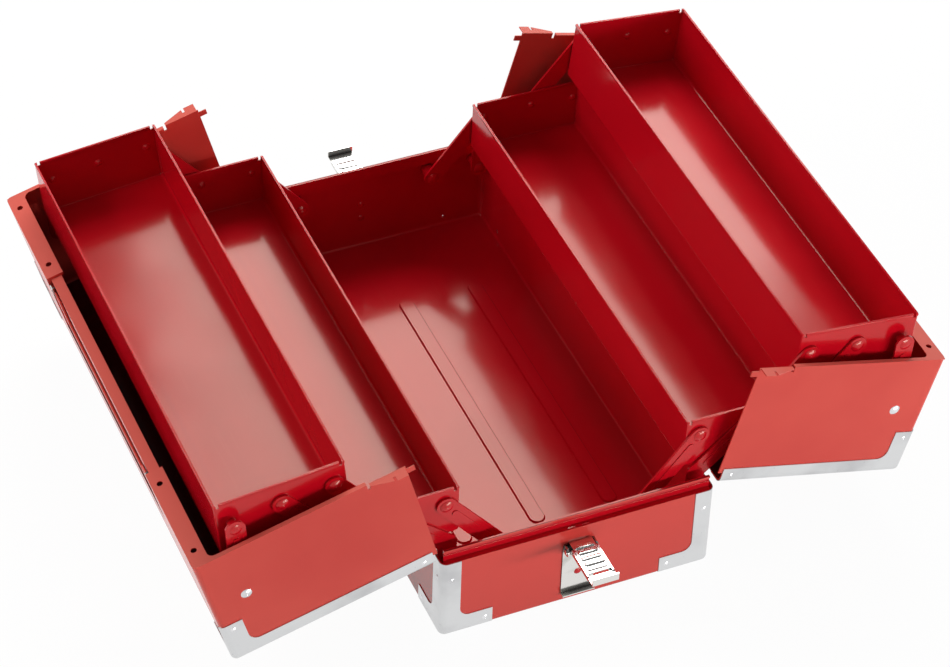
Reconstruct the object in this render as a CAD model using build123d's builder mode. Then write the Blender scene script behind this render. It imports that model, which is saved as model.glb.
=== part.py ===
from build123d import *
import os
from math import atan2, cos, degrees, dist, radians, sin

# Cantilever tool box of pressed steel sheet, standing open on its base.
# Millimetres. The origin is the centre of the base's underside, X runs across the box (its
# longest way when it stands open), Y along it and Z up. "front" is the end at -Y and "right"
# the side at +X. A master piece is made at the right front corner and mirrored to its place.
# Distances named "..._y" are measured from the box's middle towards the end that they serve.

os.makedirs("parts", exist_ok=True)

# ---- sheet and fits ---------------------------------------------------------------------------
sheet = 0.9               # steel sheet of the base, lids and trays
press_gap = 0.03          # radial gap of a shank that is fixed in its hole
running = 0.05            # radial play of a pin that turns in its hole
seat_gap = 0.2            # play between two flat faces that slide past each other
safe_gap = 0.3            # play between pieces that only pass each other

# ---- base pan ---------------------------------------------------------------------------------
base_half_w = 108.6
base_half_l = 215.9
ledge_z = 73.5            # top of the pan's walls
band_h = 10.5             # band that stands on each end wall's ledge
band_step = 4.4           # it stands this far in from the end wall
band_end_inset = 2.6      # band's end to the side of the pan
hem_out = 1.2             # lip along the top of the band
hem_h = 1.8
band_bead_drop = 5.4      # small pressed line along the band, down from its top
band_bead_r = 0.6
base_corner_r = 5.0
base_bottom_r = 3.0
floor_bead_w = 13.0       # stiffening beads pressed up in the floor
floor_bead_h = 1.5
floor_bead_pitch = 60.0
floor_bead_x = 6.5        # middle bead, off the centre line
floor_bead_end = 86.0     # bead's end to the end wall
floor_bead_slope = 35.0
slot_w = 6.0              # slots in the ledge for the lids' prongs
slot_l = 1.9

# ---- lids, given as they stand when shut ------------------------------------------------------
hinge_out = 1.4           # hinge line, out from the base's side wall
hinge_rise = 2.5          # and above the top of that wall
lid_open = 105.3          # opening angle
lid_h = 165.0             # lid's top above the base's walls
lid_end_in = 1.9          # end panel, in from the base's end wall
lid_gap = 0.6             # half the gap between the two shut lids
lid_side_rise = 2.5       # lower edge of the side panel above the hinge line
lid_end_rise = 1.5        # lower edge of the end panels above the base's walls
lid_corner_r = 4.0
hinge_relief_w = 9.0      # end panel cut away beside the hinge
flange_h = 13.5           # folded flange along the centre line
flange_corner_r = 5.0
flange_hole_r = 2.3
flange_hole_end = 16.0    # outer hole to the lid's end
flange_hole_side = 14.0   # inner hole to the handle's recess
flange_hole_drop = 6.5
edge_hem_w = 2.7          # narrow hem down the end panel's centre edge
set_back = 2.5            # the flange's middle stands back from the centre line
set_back_rise = 2.0
recess_end_room = 1.7     # recess that takes the folded handle, its room past the clips
recess_side_room = 4.0    # its room past the handle's grip
recess_sink = 0.1         # the clips' tops lie this far below the top panel
tab_out = 8.5             # catch tab folded outwards at the foot of the centre edge
tab_tip_out = 2.0
tab_rise = 1.0            # tab's foot above the end panel's lower edge
tab_h = 8.5               # height of its straight edge
tab_tip_h = 27.0          # height of its tip
notch_w = 5.0             # small notch above the catch tab
notch_h = 2.2
prong_x = 5.6             # prong that drops into the base's slot
prong_w = 4.6
prong_drop = 6.0

# ---- trays: place of the inner top edge and outward tilt, open and shut -----------------------
tray_end_in = 15.9        # tray's end, in from the base's end wall
tray_corner_r = 1.4
tray_bottom_r = 3.0
tray_hem_t = 1.5          # rolled rim
tray_hem_h = 2.4
tray_notch_w = 2.2        # relief notches at the rim's corners
tray_notch_h = 3.4
tray_notch_x = 3.0
mid_side_in = 14.6        # middle tray is this much narrower than half the base
mid_depth = 44.0
mid_over = 18.64          # open, its inner edge lies this far inside the base's side wall
mid_lift = 15.07          # open, its floor is this far above the base's walls
mid_tilt = 0.93
mid_shut_x = 1.04
mid_sink = 2.39           # shut, it hangs this much lower
top_side_in = 11.0        # top tray is this much narrower than half the base
top_depth = 51.0
top_lag = 0.83            # it travels nearly twice as far as the middle tray, short by this
top_lift = 5.8            # open, its floor is this far above the middle tray's edge
top_tilt = 6.04

# ---- pivots, "..._drop" measured down from a tray's, the base's or the lid's top --------------
mid_short_in = 10.6       # from the tray's inner edge
mid_short_drop = 14.7
mid_long_off = 5.0        # from the tray's middle
mid_long_drop = 13.45
mid_upper_drop = 15.2
top_long_in = 9.45        # from the tray's inner edge
top_long_drop = 19.2
top_upper_off = 0.1       # from the tray's middle
top_upper_drop = 19.0
top_link_in = 11.2        # from the tray's outer edge
top_link_drop = 20.85
base_short_drop = 8.5
base_long_drop = 9.3
lid_pivot_drop = 27.2     # lid link's rivet in the shut lid

# ---- arms, links and rivets -------------------------------------------------------------------
arm_w = 15.0
arm_t = 1.8
arm_rib_w = 5.0
arm_rib_h = 0.6
rib_end = 11.0            # pivot to the rib's end
crank_in = 0.9            # bend that leads the long arm past the pan's wall
crank_up = 16.6
loose_play = 0.9          # wide holes at the far ends of the short arms
pin_r = 2.5
head_r = 5.0
head_h = 1.7
tail_r = 3.2
tail_h = 1.4
stud_shoulder_r = 5.0
link_room = 2.4           # from the rivets' heads to the lid links' inner face
link_stud_r = 3.8
link_button_r = 4.5
link_button_h = 1.1
lid_head_r = 4.2
lid_head_h = 1.6
lid_tail_r = 4.0
lid_spacer_r = 5.0

# ---- side hinges ------------------------------------------------------------------------------
barrel_r = 2.2
hinge_pin_r = 1.2
hinge_end_room = 10.9     # from the corner trims to the hinge's end
knuckles = 11
leaf_t = 0.8
leaf_h = 12.0

# ---- corner trims of thin bright sheet, and their rivets --------------------------------------
trim_t = 0.6
trim_fillet_r = 8.0
trim_lift = 0.5           # trim's lowest edge above the ground
base_leg_w = 15.0
base_foot_l = 41.0
base_foot_h = 16.0
lid_leg_w = 13.0
lid_foot_l = 38.6
lid_foot_h = 17.0
rivet_r = 2.1
rivet_h = 0.8
rivet_shank_r = 1.2
rivet_tail_r = 1.9
rivet_tail_h = 0.7
rivet_inset = 6.0         # from the foot's end
lid_rivet_rise = 8.0      # from the lower end of the lid's leg
base_rivet_drop = 17.5    # from the top of the base's leg

# ---- folding handles --------------------------------------------------------------------------
handle_x = 11.0           # pivot line, from the box's centre plane
handle_half_l = 100.0     # to the middle of the side straps
handle_reach = 33.0
handle_strap_w = 12.0
handle_t = 2.0
handle_lift = 0.25        # strap above the recess's floor
handle_corner_r = 13.0
handle_inner_r = 4.0
handle_edge_r = 0.6
clip_l = 5.0
clip_w = 10.0
clip_h = 3.0
clip_edge_r = 1.2
clip_rivet_x = 3.2        # from the pivot line
clip_rivet_r = 1.1
clip_rivet_depth = 1.6
clip_tail_r = 2.2

# ---- draw latches, given as they stand when shut, out from the end wall -----------------------
plate_half_w = 13.0
plate_t = 1.0
plate_drop = 13.5         # plate's top below the base's walls
plate_h = 51.0
plate_lip = 5.0
plate_corner_r = 3.0
plate_rivet_drops = (17.0, 31.0)  # below the plate's top
plate_rivet_r = 3.0
plate_rivet_h = 1.1
ear_x = 11.0              # inner face of the ears
ear_t = 1.2
ear_r = 3.6
latch_out = 4.6           # lever's pivot
latch_drop = 17.5         # below the base's walls
latch_pin_r = 1.4
latch_pin_head_r = 2.3
latch_pin_head_h = 0.7
lever_half_w = 9.0
lever_t = 1.0
lever_out = 9.8           # inner face of the lever's web
lever_l = 31.0            # from its pivot to its tip
lever_wall_h = 4.0        # deep side walls end this far below the claw's pivot
lever_boss_r = 3.0
lever_edge = 3.0          # shallow side walls of the rest
lever_ribs = 3
lever_rib_pitch = 5.5
lever_rib_r = 0.8
claw_out = 8.6            # claw's pivot
claw_drop = 6.0           # below the lever's pivot
claw_bar_w = 4.0
claw_t = 1.2
claw_pin_r = 1.2
claw_web_rise = 1.0       # claw's web starts this far above the catch tabs' foot
claw_tab_gap = 1.0        # claw's web to the catch tabs
claw_lip_gap = 0.4
claw_lip_in = 6.2

SIDES = {"right": 1, "left": -1}
ENDS = {"front": -1, "rear": 1}
MARGIN = 1.0              # how far a cut runs past the face that it leaves through
TINY = 0.01               # overlap that joins two stacked forms

# ---- levels and widths that follow from the sizes above ---------------------------------------
rim_z = ledge_z + band_h
band_bead_z = rim_z - band_bead_drop
hinge_x = base_half_w + hinge_out
hinge_z = ledge_z + hinge_rise
lid_top = ledge_z + lid_h
lid_side_z = hinge_z + lid_side_rise
lid_end_z = ledge_z + lid_end_rise
tab_z0 = lid_end_z + tab_rise
tab_z1 = tab_z0 + tab_h
tab_tip_z = tab_z0 + tab_tip_h
mid_w = base_half_w - mid_side_in
mid_open_x = base_half_w - mid_over
mid_open_z = ledge_z + mid_depth + mid_lift
mid_shut_z = mid_open_z - mid_sink
top_w = base_half_w - top_side_in
top_open_x = 2 * mid_open_x - mid_shut_x - top_lag
top_open_z = mid_open_z + top_depth + top_lift
plate_z1 = ledge_z - plate_drop
plate_z0 = plate_z1 - plate_h
latch_z = ledge_z - latch_drop
claw_z = latch_z - claw_drop
claw_web_z = tab_z0 + claw_web_rise
lever_tip_z = latch_z - lever_l
lever_wall_z = claw_z - lever_wall_h

# ---- pivots of the trays, from their inner top edge -------------------------------------------
mid_short_pivot = (mid_short_in, -mid_short_drop)
mid_long_pivot = (mid_w / 2 + mid_long_off, -mid_long_drop)
top_long_pivot = (top_long_in, -top_long_drop)
top_upper_pivot = (top_w / 2 + top_upper_off, -top_upper_drop)
top_link_pivot = (top_w - top_link_in, -top_link_drop)


# ---- the linkage's pivots, in the open and in the shut box ------------------------------------
def turn(point, centre, angle):
    """A point of the XZ plane turned about a centre, in degrees from +X towards +Z."""
    dx, dz = point[0] - centre[0], point[1] - centre[1]
    c, s = cos(radians(angle)), sin(radians(angle))
    return (centre[0] + c * dx - s * dz, centre[1] + s * dx + c * dz)


def from_tray(corner, tilt, local):
    """Where a tray's local point lies, for a tray with this inner top edge and tilt."""
    return turn((corner[0] + local[0], corner[1] + local[1]), corner, -tilt)


def to_tray(corner, tilt, point):
    """A point of the box in a tray's local measures."""
    flat = turn(point, corner, tilt)
    return (flat[0] - corner[0], flat[1] - corner[1])


def bearing(start, end):
    """Direction of a line of the XZ plane, in degrees from +X towards +Z."""
    return degrees(atan2(end[1] - start[1], end[0] - start[0]))


def even_pivot(first, second, height):
    """The pivot at a given height that lies as far from one point as from the other."""
    mid_x, mid_z = (first[0] + second[0]) / 2, (first[1] + second[1]) / 2
    rise, run = second[1] - first[1], second[0] - first[0]
    return (mid_x - rise * (height - mid_z) / run, height)


def along(start, end, distance):
    """The point at a distance from the start of a line towards its end."""
    part = distance / dist(start, end)
    return (start[0] + part * (end[0] - start[0]), start[1] + part * (end[1] - start[1]))


hinge = (hinge_x, hinge_z)
mid_open = (mid_open_x, mid_open_z)
mid_shut = (mid_shut_x, mid_shut_z)
top_open = (top_open_x, top_open_z)

mid_short = from_tray(mid_open, mid_tilt, mid_short_pivot)
mid_long = from_tray(mid_open, mid_tilt, mid_long_pivot)
mid_short_shut = from_tray(mid_shut, 0, mid_short_pivot)
mid_long_shut = from_tray(mid_shut, 0, mid_long_pivot)
base_short = even_pivot(mid_short, mid_short_shut, ledge_z - base_short_drop)
base_long = even_pivot(mid_long, mid_long_shut, ledge_z - base_long_drop)
long_turn = bearing(base_long, mid_long_shut) - bearing(base_long, mid_long)

top_long = from_tray(top_open, top_tilt, top_long_pivot)
top_long_shut = turn(top_long, base_long, long_turn)
top_shut = (top_long_shut[0] - top_long_pivot[0], top_long_shut[1] - top_long_pivot[1])
top_upper = from_tray(top_open, top_tilt, top_upper_pivot)
top_upper_shut = from_tray(top_shut, 0, top_upper_pivot)
top_link = from_tray(top_open, top_tilt, top_link_pivot)
top_link_shut = from_tray(top_shut, 0, top_link_pivot)

mid_upper_pivot = even_pivot(
    to_tray(mid_open, mid_tilt, top_upper),
    to_tray(mid_shut, 0, top_upper_shut),
    -mid_upper_drop,
)
mid_upper = from_tray(mid_open, mid_tilt, mid_upper_pivot)
lid_pivot_shut = even_pivot(
    turn(top_link, hinge, lid_open),
    top_link_shut,
    lid_top - lid_pivot_drop,
)
lid_pivot = turn(lid_pivot_shut, hinge, -lid_open)
crank = (base_long[0] + crank_in, base_long[1] + crank_up)

# ---- layers along Y, from the box's middle outwards -------------------------------------------
tray_half_l = base_half_l - tray_end_in
lid_half_l = base_half_l - lid_end_in
hinge_half_l = base_half_l - base_leg_w - hinge_end_room
arm_y = tray_half_l + safe_gap
head_y = arm_y + arm_t + seat_gap
link_y = head_y + head_h + link_room
link_head_y = link_y + arm_t + seat_gap
tray_wall_y = tray_half_l - sheet
base_wall_y = base_half_l - sheet
lid_wall_y = lid_half_l - sheet
band_y = base_half_l - band_step
latch_y = base_half_l + latch_out
claw_y = base_half_l + claw_out
claw_web_y = lid_half_l + tab_out + claw_tab_gap
lever_y = base_half_l + lever_out

# ---- places of the lids' details and of the handles -------------------------------------------
flange_z = lid_top - flange_h
recess_z = lid_top - recess_sink - clip_h
edge_hem_z = tab_tip_z + notch_h
handle_z = recess_z + handle_lift + handle_t / 2
grip_x = handle_x + handle_reach
clip_y = handle_half_l + handle_strap_w / 2 + safe_gap
clip_end_y = clip_y + clip_l
clip_rivet_y = clip_y + clip_l / 2
recess_w = grip_x + handle_strap_w / 2 + recess_side_room
recess_y = clip_end_y + recess_end_room
flange_hole_y = (lid_half_l - flange_hole_end, recess_y + flange_hole_side)

# ---- places in the latches, and the notch in the catch tabs that takes the claw's lip ---------
plate_rivets_z = tuple(plate_z1 - drop for drop in plate_rivet_drops)
claw_x = lever_half_w + safe_gap
claw_lip_z = tab_z1 + claw_lip_gap
hook_y = claw_y - claw_lip_in - claw_lip_gap
hook_top = claw_lip_z + claw_t + claw_lip_gap
tab_lean = (tab_out - tab_tip_out) / (tab_tip_z - tab_z1)
hook_edge_y = lid_half_l + tab_out - tab_lean * (hook_top - tab_z1)
lever_top_z = latch_z + lever_boss_r
claw_boss_r = lever_out + lever_t - claw_out
turning = pin_r + running
loose = pin_r + loose_play


# ---- helpers that work in the open builder ----------------------------------------------------
def front_plane(distance):
    """Sketch plane of the front end, its local axes along X and Z."""
    return Plane.XZ.offset(distance)


def block(x, y, z, mode=Mode.ADD):
    """A box between two bounds along each axis."""
    spans = [sorted(bounds) for bounds in (x, y, z)]
    with Locations(tuple((low + high) / 2 for low, high in spans)):
        Box(*(high - low for low, high in spans), mode=mode)


def patch(x, y):
    """A rectangle between two bounds along each axis of the open sketch."""
    spans = [sorted(bounds) for bounds in (x, y)]
    with Locations(tuple((low + high) / 2 for low, high in spans)):
        Rectangle(*(high - low for low, high in spans))


def rod(centre, start_y, end_y, radius, mode=Mode.ADD):
    """A cylinder along Y between two distances towards the front."""
    with BuildSketch(front_plane(min(start_y, end_y))) as outline:
        with Locations(centre):
            Circle(radius)
    extrude(outline.sketch, amount=abs(end_y - start_y), mode=mode)


def dome(centre, flat_y, radius, height, outward=1):
    """A rivet's domed head along Y, its flat side at a distance towards the front."""
    foot = (centre[0], -flat_y, centre[1])
    with BuildSketch(Plane(origin=foot, x_dir=(1, 0, 0), z_dir=(0, 0, -outward))) as half:
        with BuildLine():
            Line((0, 0), (radius, 0))
            RadiusArc((radius, 0), (0, height), -(radius**2 + height**2) / (2 * height))
            Line((0, height), (0, 0))
        make_face()
    revolve(half.sketch, axis=Axis(foot, (0, 1, 0)))


def bars(points, width):
    """Round-ended bars laid end to end along points of the open sketch."""
    for start, end in zip(points, points[1:]):
        with Locations(((start[0] + end[0]) / 2, (start[1] + end[1]) / 2)):
            SlotCenterToCenter(dist(start, end), width, rotation=bearing(start, end))


# ---- placing ----------------------------------------------------------------------------------
def placed(piece, side, end=-1):
    """A right front master mirrored to its own side and end."""
    with BuildPart() as copy:
        add(piece)
        if side < 0:
            mirror(about=Plane.YZ, mode=Mode.REPLACE)
        if end > 0:
            mirror(about=Plane.XZ, mode=Mode.REPLACE)
    return copy.part


def both_ends(piece):
    """A front piece with its copy at the rear."""
    with BuildPart() as pair:
        add(piece)
        mirror(about=Plane.XZ)
    return pair.part


def both_sides(piece):
    """A right-hand piece with its copy on the left."""
    with BuildPart() as pair:
        add(piece)
        mirror(about=Plane.YZ)
    return pair.part


def opened(piece):
    """A piece made in the shut lid, swung to where the open lid holds it."""
    return piece.rotate(Axis((hinge_x, 0, hinge_z), (0, 1, 0)), lid_open)


def save(piece, name):
    """Label a finished piece and write it out."""
    piece.label = name
    export_step(piece, f"parts/{name}.step")


# ---- corner trims and their rivets ------------------------------------------------------------
def small_rivet():
    """A trim's rivet at the origin: the trim's outer face is at y = 0, the head points to -Y."""
    with BuildPart() as rivet:
        dome((0, 0), 0, rivet_r, rivet_h)
        rod((0, 0), -(trim_t + sheet), 0, rivet_shank_r)
        dome((0, 0), -(trim_t + sheet), rivet_tail_r, rivet_tail_h, outward=-1)
    return rivet.part


def small_drill():
    """The hole that the trim's rivet needs, at the origin."""
    with BuildPart() as drill:
        rod((0, 0), -(trim_t + sheet + MARGIN), MARGIN, rivet_shank_r + press_gap)
    return drill.part


def rivet_spots(half_l, leg_w, foot_l, leg_z, foot_z):
    """Places of one corner's four rivets, two on the end face and two on the side face."""
    spots = []
    for inset, z in ((leg_w / 2, leg_z), (foot_l - rivet_inset, foot_z)):
        spots.append(Location((base_half_w - inset, -half_l - trim_t, z)))
        spots.append(Location((base_half_w + trim_t, -half_l + inset, z), (0, 0, 90)))
    return spots


def at_spots(piece, spots):
    """Copies of a piece at each of the given places."""
    with BuildPart() as group:
        with Locations(*spots):
            add(piece)
    return group.part


def trim_windows(half_l, corner_r, leg_w, foot_l, leg_z, foot_z, foot_edge):
    """L-shaped windows on the end and the side face, which cut a trim out of a thin skin."""
    reach = corner_r + trim_t + MARGIN
    faces_of_corner = (
        (front_plane(half_l - corner_r), base_half_w, 1),
        (Plane.YZ.offset(base_half_w - corner_r), -half_l, -1),
    )
    with BuildPart() as windows:
        for plane, edge, inward in faces_of_corner:
            with BuildSketch(plane):
                patch((edge + inward * reach, edge - inward * leg_w), leg_z)
                patch((edge + inward * reach, edge - inward * foot_l), foot_z)
                inner = vertices().sort_by_distance((edge - inward * leg_w, foot_edge, 0))[0]
                fillet(inner, radius=trim_fillet_r)
            extrude(amount=reach)
    return windows.part


def make_trim(outer, inner, windows, drills):
    """One corner trim: the skin between two forms, within its windows."""
    with BuildPart() as trim:
        add(outer)
        add(inner, mode=Mode.SUBTRACT)
        add(windows, mode=Mode.INTERSECT)
        add(drills, mode=Mode.SUBTRACT)
    return trim.part


base_rivet_spots = rivet_spots(
    base_half_l, base_leg_w, base_foot_l, ledge_z - base_rivet_drop, base_foot_h / 2
)
lid_rivet_spots = rivet_spots(
    lid_half_l, lid_leg_w, lid_foot_l, lid_side_z + lid_rivet_rise, lid_top - lid_foot_h / 2
)
base_drills = at_spots(small_drill(), base_rivet_spots)
lid_drills = at_spots(small_drill(), lid_rivet_spots)


# ---- base -------------------------------------------------------------------------------------
def pan_form(grow):
    """The base pan's outer form as a solid block, grown all round but not at its top."""
    with BuildPart() as form:
        with BuildSketch(Plane.XY.offset(-grow)):
            RectangleRounded(
                2 * (base_half_w + grow), 2 * (base_half_l + grow), base_corner_r + grow
            )
        extrude(amount=ledge_z + grow)
        fillet(faces().sort_by(Axis.Z)[0].edges(), radius=base_bottom_r + grow)
    return form.part


def floor_beads(width, start_z, height):
    """The three long beads of the floor, as solid bars with sloping sides."""
    length = 2 * (base_half_l - floor_bead_end)
    with BuildPart() as beads:
        with BuildSketch(Plane.XY.offset(start_z)):
            with Locations((floor_bead_x, 0)):
                with GridLocations(floor_bead_pitch, 0, 3, 1):
                    SlotCenterToCenter(length, width, rotation=90)
        extrude(amount=height, taper=floor_bead_slope)
    return beads.part


def make_base_shell():
    """The pan with its floor beads, and at each end a ledge with a hemmed band standing on it."""
    pan = pan_form(0)
    bead_tops = floor_beads(floor_bead_w, sheet - TINY, floor_bead_h + TINY)
    bead_hollows = floor_beads(floor_bead_w - sheet, -TINY, floor_bead_h + TINY)
    drills = both_sides(both_ends(base_drills))
    band_x = (-base_half_w + band_end_inset, base_half_w - band_end_inset)
    slot_y = lid_half_l - sheet / 2
    with BuildPart() as shell:
        add(pan)
        offset(amount=-sheet, openings=faces().sort_by(Axis.Z)[-1])
        for end in ENDS.values():
            inner, outer = end * (band_y - sheet), end * band_y
            block(band_x, (inner, end * base_wall_y), (ledge_z - sheet, ledge_z))
            block(band_x, (inner, outer), (ledge_z - sheet, rim_z))
            block(band_x, (inner, outer + end * hem_out), (rim_z - hem_h, rim_z))
            with Locations(Location((0, outer, band_bead_z), (0, 90, 0))):
                Cylinder(band_bead_r, band_x[1] - band_x[0])
            for side in SIDES.values():
                block(
                    (side * prong_x - slot_w / 2, side * prong_x + slot_w / 2),
                    (end * (slot_y - slot_l / 2), end * (slot_y + slot_l / 2)),
                    (ledge_z - sheet - MARGIN, ledge_z + MARGIN),
                    mode=Mode.SUBTRACT,
                )
        add(bead_tops)
        add(bead_hollows, mode=Mode.SUBTRACT)
        add(drills, mode=Mode.SUBTRACT)
        for z in plate_rivets_z:
            reach = base_half_l + MARGIN
            rod((0, z), -reach, reach, rivet_shank_r + press_gap, mode=Mode.SUBTRACT)
    return shell.part


def make_pivot_studs():
    """The two studs welded inside the front wall, which carry the short and the long arm."""
    with BuildPart() as studs:
        for pivot in (base_short, base_long):
            rod(pivot, head_y, base_wall_y, stud_shoulder_r)
            rod(pivot, arm_y - seat_gap, head_y, pin_r)
            dome(pivot, arm_y - seat_gap, head_r, tail_h, outward=-1)
    return studs.part


# ---- side hinges ------------------------------------------------------------------------------
def make_leaf(first, edge_z, far_z):
    """A hinge leaf on the right side, with every second knuckle from the given one on."""
    pitch = 2 * hinge_half_l / knuckles
    skin = (base_half_w, base_half_w + leaf_t)
    with BuildPart() as leaf:
        block(skin, (-hinge_half_l, hinge_half_l), (edge_z, far_z))
        for index in range(first, knuckles, 2):
            start = hinge_half_l - index * pitch - seat_gap / 2
            stop = start - pitch + seat_gap
            block(skin, (-start, -stop), (edge_z, hinge_z))
            rod(hinge, start, stop, barrel_r)
        reach = hinge_half_l + MARGIN
        rod(hinge, -reach, reach, hinge_pin_r + running, mode=Mode.SUBTRACT)
    return leaf.part


def make_hinge_pin():
    with BuildPart() as pin:
        rod(hinge, -hinge_half_l, hinge_half_l, hinge_pin_r)
    return pin.part


# ---- lids -------------------------------------------------------------------------------------
def clip_rivet_spots(z):
    """Places of the two rivets that hold a lid's handle clips, at a level."""
    x = handle_x + clip_rivet_x
    return ((x, -clip_rivet_y, z), (x, clip_rivet_y, z))


def lid_form(grow, open_by=0):
    """The shut lid's form as a solid block, grown outwards and through its open faces."""
    half_l, top_z = lid_half_l + grow, lid_top + grow
    with BuildPart() as form:
        block(
            (lid_gap - open_by, base_half_w + grow),
            (-half_l, half_l),
            (lid_end_z - open_by, top_z),
        )
        rims = faces().sort_by(Axis.Z)[-1].edges().sort_by(Axis.X)[1:]
        uprights = edges().filter_by(Axis.Z).sort_by(Axis.X)[-2:]
        fillet(rims + uprights, radius=lid_corner_r + grow)
    return form.part


def make_lid():
    """The right lid as one pressed shell, open below and towards the centre."""
    outer = lid_form(0)
    cavity = lid_form(-sheet, open_by=MARGIN)
    drills = both_ends(lid_drills)
    face_x = (lid_gap, lid_gap + sheet)
    back_x = (lid_gap + set_back, lid_gap + set_back + sheet)
    with BuildPart() as lid:
        add(outer)
        add(cavity, mode=Mode.SUBTRACT)
        block(
            (base_half_w - hinge_relief_w, base_half_w + MARGIN),
            (-base_half_l, base_half_l),
            (lid_end_z - MARGIN, lid_side_z),
            mode=Mode.SUBTRACT,
        )
        with BuildSketch(Plane.YZ.offset(lid_gap)):
            patch((-lid_wall_y, lid_wall_y), (edge_hem_z, lid_top - sheet / 2))
            opening_w, opening_h = 2 * (lid_wall_y - edge_hem_w), 2 * (flange_z - edge_hem_z)
            with Locations((0, flange_z - opening_h / 2)):
                RectangleRounded(
                    opening_w, opening_h, flange_corner_r, mode=Mode.SUBTRACT
                )
        extrude(amount=sheet)
        block(
            (0, recess_w),
            (-recess_y, recess_y),
            (flange_z - MARGIN, lid_top + MARGIN),
            mode=Mode.SUBTRACT,
        )
        recess_wall_y = recess_y + sheet
        whole_y = (-recess_wall_y, recess_wall_y)
        block((back_x[0], recess_w + sheet), whole_y, (recess_z - sheet, recess_z))
        block((recess_w, recess_w + sheet), whole_y, (recess_z - sheet, lid_top))
        block(back_x, whole_y, (flange_z + set_back_rise, recess_z))
        for end in ENDS.values():
            wall_y = (end * recess_y, end * recess_wall_y)
            block((lid_gap, recess_w + sheet), wall_y, (recess_z - sheet, lid_top))
            block((lid_gap, back_x[1]), wall_y, (flange_z, lid_top))
        with BuildSketch(Plane.YZ):
            for y in flange_hole_y:
                with Locations((y, lid_top - flange_hole_drop), (-y, lid_top - flange_hole_drop)):
                    Circle(flange_hole_r)
        extrude(amount=back_x[0], mode=Mode.SUBTRACT)
        for end in ENDS.values():
            block(
                (0, lid_gap + notch_w),
                (end * (lid_wall_y - edge_hem_w - MARGIN), end * (lid_half_l + MARGIN)),
                (tab_tip_z, edge_hem_z),
                mode=Mode.SUBTRACT,
            )
            with BuildSketch(Plane.YZ.offset(lid_gap)):
                with BuildLine():
                    Polyline(
                        (end * lid_wall_y, tab_z0),
                        (end * (lid_half_l + tab_out), tab_z0),
                        (end * (lid_half_l + tab_out), tab_z1),
                        (end * hook_y, tab_z1),
                        (end * hook_y, hook_top),
                        (end * hook_edge_y, hook_top),
                        (end * (lid_half_l + tab_tip_out), tab_tip_z),
                        (end * lid_wall_y, tab_tip_z),
                        close=True,
                    )
                make_face()
            extrude(amount=sheet)
            block(
                (prong_x - prong_w / 2, prong_x + prong_w / 2),
                (end * lid_wall_y, end * lid_half_l),
                (lid_end_z - prong_drop, lid_end_z),
            )
        with Locations(*clip_rivet_spots(recess_z)):
            Cylinder(clip_rivet_r + press_gap, 2 * sheet + MARGIN, mode=Mode.SUBTRACT)
        reach = lid_half_l + MARGIN
        rod(lid_pivot_shut, -reach, reach, pin_r + press_gap, mode=Mode.SUBTRACT)
        add(drills, mode=Mode.SUBTRACT)
    return lid.part


def make_lid_link_rivet():
    """The lid link's rivet, through the open lid's end panel, a spacer and the link."""
    with BuildPart() as rivet:
        dome(lid_pivot, lid_half_l, lid_head_r, lid_head_h)
        rod(lid_pivot, lid_wall_y, lid_half_l, pin_r)
        rod(lid_pivot, link_head_y, lid_wall_y, lid_spacer_r)
        rod(lid_pivot, link_y - seat_gap, link_head_y, pin_r)
        dome(lid_pivot, link_y - seat_gap, lid_tail_r, tail_h, outward=-1)
    return rivet.part


# ---- handles ----------------------------------------------------------------------------------
def make_handle():
    """A flat U of strip that lies in the lid's recess, with a trunnion on each leg."""
    outer_y = handle_half_l + handle_strap_w / 2
    inner_y = handle_half_l - handle_strap_w / 2
    far_x = grip_x + handle_strap_w / 2
    near_x = far_x - handle_strap_w
    with BuildPart() as handle:
        with BuildSketch(Plane.XY.offset(handle_z - handle_t / 2)):
            patch((handle_x, far_x), (-outer_y, outer_y))
            fillet(vertices().group_by(Axis.X)[-1], radius=handle_corner_r)
        extrude(amount=handle_t)
        with BuildSketch(Plane.XY.offset(handle_z - handle_t / 2)):
            patch((handle_x - MARGIN, near_x), (-inner_y, inner_y))
            fillet(vertices().group_by(Axis.X)[-1], radius=handle_inner_r)
        extrude(amount=handle_t, mode=Mode.SUBTRACT)
        rims = faces().filter_by(Axis.Z).edges()
        rims = rims.filter_by_position(Axis.X, handle_x + TINY, far_x + TINY)
        fillet(rims, radius=handle_edge_r)
        for end in ENDS.values():
            rod((handle_x, handle_z), end * inner_y, end * clip_end_y, handle_t / 2)
    return handle.part


def make_clips():
    """The two clips that hold the handle's trunnions, standing on the recess's floor."""
    with BuildPart() as clips:
        for end in ENDS.values():
            block(
                (handle_x - clip_w / 2, handle_x + clip_w / 2),
                (end * clip_y, end * clip_end_y),
                (recess_z, recess_z + clip_h),
            )
        fillet(edges().filter_by(Axis.Y).group_by(Axis.Z)[-1], radius=clip_edge_r)
        bore_r = handle_t / 2 + 2 * running
        rod((handle_x, handle_z), -recess_y, recess_y, bore_r, mode=Mode.SUBTRACT)
        with Locations(*clip_rivet_spots(recess_z)):
            depth = clip_rivet_depth + press_gap
            Cylinder(clip_rivet_r + press_gap, 2 * depth, mode=Mode.SUBTRACT)
    return clips.part


def make_clip_rivets():
    """The rivets that hold the clips, with flat tails under the recess's floor."""
    with BuildPart() as rivets:
        low, length = recess_z - sheet, sheet + clip_rivet_depth
        with Locations(*clip_rivet_spots(low - rivet_tail_h / 2)):
            Cylinder(clip_tail_r, rivet_tail_h)
        with Locations(*clip_rivet_spots(low + length / 2)):
            Cylinder(clip_rivet_r, length)
    return rivets.part


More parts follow.
